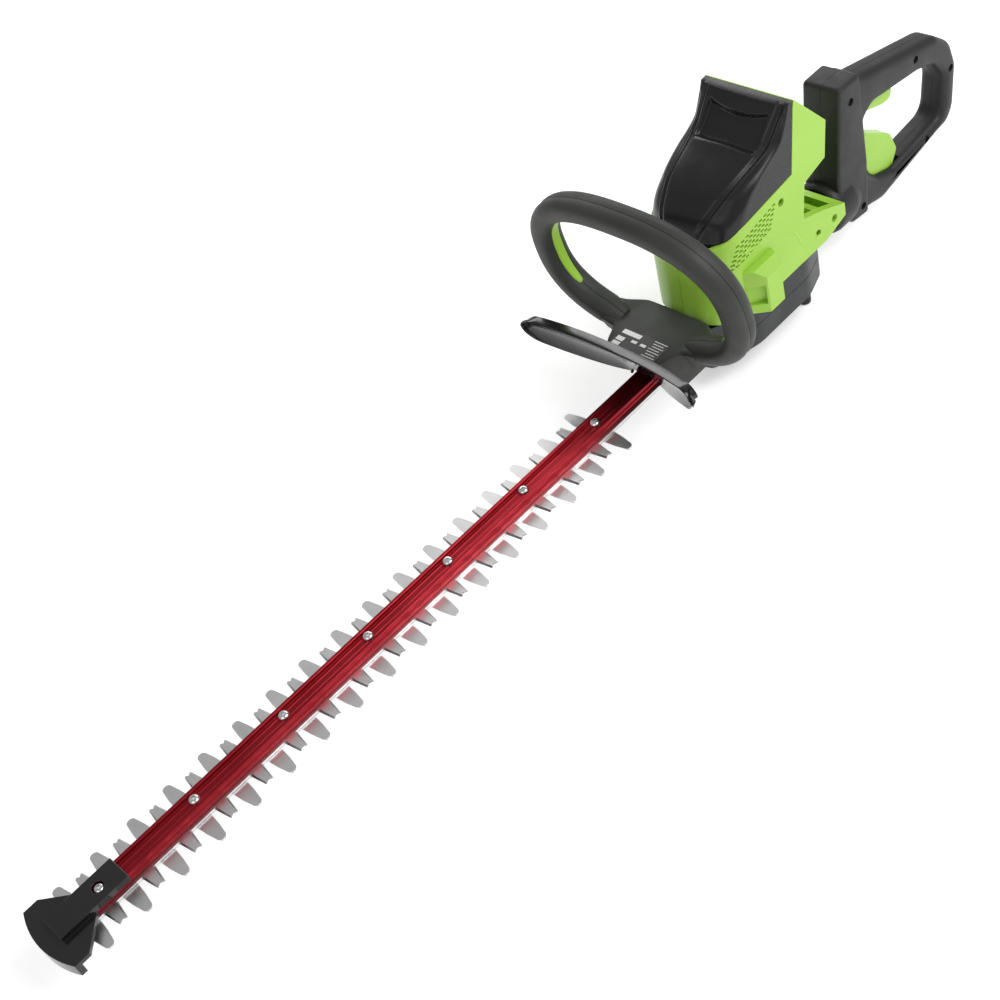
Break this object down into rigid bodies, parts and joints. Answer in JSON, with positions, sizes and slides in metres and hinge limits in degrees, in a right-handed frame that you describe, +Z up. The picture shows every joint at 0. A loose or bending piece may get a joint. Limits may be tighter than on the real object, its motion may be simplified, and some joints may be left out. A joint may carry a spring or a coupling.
{
  "type": "hedge trimmer",
  "caption": "Cordless hedge trimmer with a long double-action blade, front loop handle, hand guard, battery tower and turning rear D-handle.",
  "frame": {"origin": "middle of the bounding box in plan, on the surface that the trimmer stands on", "axes": "+X along the blade towards its tip, +Y to the tool's left, +Z up"},
  "size_m": [1.1292, 0.2264, 0.234],
  "materials": {
    "red_bar": "red anodised, satin",
    "blade_steel": "ground",
    "bright_steel": "bright",
    "motor_iron": "dark laminations",
    "windings": "enamelled copper",
    "cast_metal": "dark grey, satin",
    "black_plastic": "matt",
    "gloss_black": "glossy",
    "green_plastic": "semi-gloss",
    "grey_grip": "fine texture",
    "board": "solder mask",
    "plate": "plain printed plate"
  },
  "bodies": {
    "chassis": {"guide_bar": "red_bar", "lower_guide_strip": "blade_steel", "tip_guard": "black_plastic", "bar_screw_1": "bright_steel", "bar_screw_2": "bright_steel", "bar_screw_3": "bright_steel", "bar_screw_4": "bright_steel", "bar_screw_5": "bright_steel", "bar_screw_6": "bright_steel", "bar_screw_7": "bright_steel", "gearbox_lower": "cast_metal", "gearbox_upper": "cast_metal", "foot_peg_left": "black_plastic", "foot_peg_right": "black_plastic", "bearing_top": "bright_steel", "bearing_bottom": "bright_steel", "motor_stator": "motor_iron", "housing_left": "green_plastic", "housing_right": "green_plastic", "front_cover": "gloss_black", "battery_bay": "black_plastic", "terminal_block": "bright_steel", "control_board": "board", "housing_screw_1": "bright_steel", "housing_screw_2": "bright_steel", "housing_screw_3": "bright_steel", "collar_ring": "gloss_black", "front_handle_front": "grey_grip", "front_handle_rear": "grey_grip", "loop_screw_1": "bright_steel", "loop_screw_2": "bright_steel", "loop_screw_3": "bright_steel", "loop_screw_4": "bright_steel", "handle_base": "grey_grip", "rating_plate": "plate", "hand_guard": "gloss_black"},
    "gear_train": {"drive_gear": "bright_steel"},
    "rotor": {"motor_rotor": "windings", "motor_pinion": "bright_steel", "motor_fan": "black_plastic"},
    "upper_cutter": {"upper_blade": "blade_steel", "upper_blade_yoke": "blade_steel"},
    "lower_cutter": {"lower_blade": "blade_steel", "lower_blade_yoke": "blade_steel"},
    "rear_handle": {"rear_handle_left": "grey_grip", "rear_handle_right": "grey_grip", "trigger_switch": "black_plastic", "rear_handle_screw_1": "bright_steel", "rear_handle_screw_2": "bright_steel", "rear_handle_screw_3": "bright_steel", "rear_handle_screw_4": "bright_steel", "rear_handle_screw_5": "bright_steel"},
    "trigger": {"trigger": "green_plastic"},
    "release_lever": {"release_lever": "green_plastic"},
    "left_switch_bar": {"front_switch_left": "green_plastic"},
    "right_switch_bar": {"front_switch_right": "green_plastic"}
  },
  "joints": [
    {"name": "gear_spin", "type": "hinge", "parent": "chassis", "child": "gear_train", "pos_m": [-0.21539, 0, 0.053], "axis": [0, 0, 1], "continuous": true},
    {"name": "rotor_spin", "type": "hinge", "parent": "chassis", "child": "rotor", "pos_m": [-0.25539, 0, 0.053], "axis": [0, 0, 1], "continuous": true},
    {"name": "lower_blade_slide", "type": "slide", "parent": "chassis", "child": "lower_cutter", "axis": [1, 0, 0], "range_m": [-0.008, 0.008]},
    {"name": "upper_blade_slide", "type": "slide", "parent": "chassis", "child": "upper_cutter", "axis": [1, 0, 0], "range_m": [-0.008, 0.008]},
    {"name": "rear_handle_turn", "type": "hinge", "parent": "chassis", "child": "rear_handle", "pos_m": [-0.355, 0, 0.056], "axis": [1, 0, 0], "range_deg": [-90, 90]},
    {"name": "trigger_pull", "type": "hinge", "parent": "rear_handle", "child": "trigger", "pos_m": [-0.43239, 0, 0.14], "axis": [0, 1, 0], "range_deg": [0, 8], "stiffness_Nm_per_rad": 0.5, "springref_deg": -5.73},
    {"name": "release_squeeze", "type": "hinge", "parent": "rear_handle", "child": "release_lever", "pos_m": [-0.44839, 0, 0.032], "axis": [0, 1, 0], "range_deg": [0, 4], "stiffness_Nm_per_rad": 1, "springref_deg": -5.73},
    {"name": "left_switch_press", "type": "slide", "parent": "chassis", "child": "left_switch_bar", "axis": [0, 1, 0], "range_m": [0, 0.003], "stiffness_N_per_m": 300, "springref_m": -0.002},
    {"name": "right_switch_press", "type": "slide", "parent": "chassis", "child": "right_switch_bar", "axis": [0, -1, 0], "range_m": [0, 0.003], "stiffness_N_per_m": 300, "springref_m": -0.002}
  ],
  "couplings": [
    {"joint": "rotor_spin", "follows": "gear_spin", "ratio": -4.3333},
    {"joint": "upper_blade_slide", "follows": "lower_blade_slide", "ratio": -1}
  ]
}
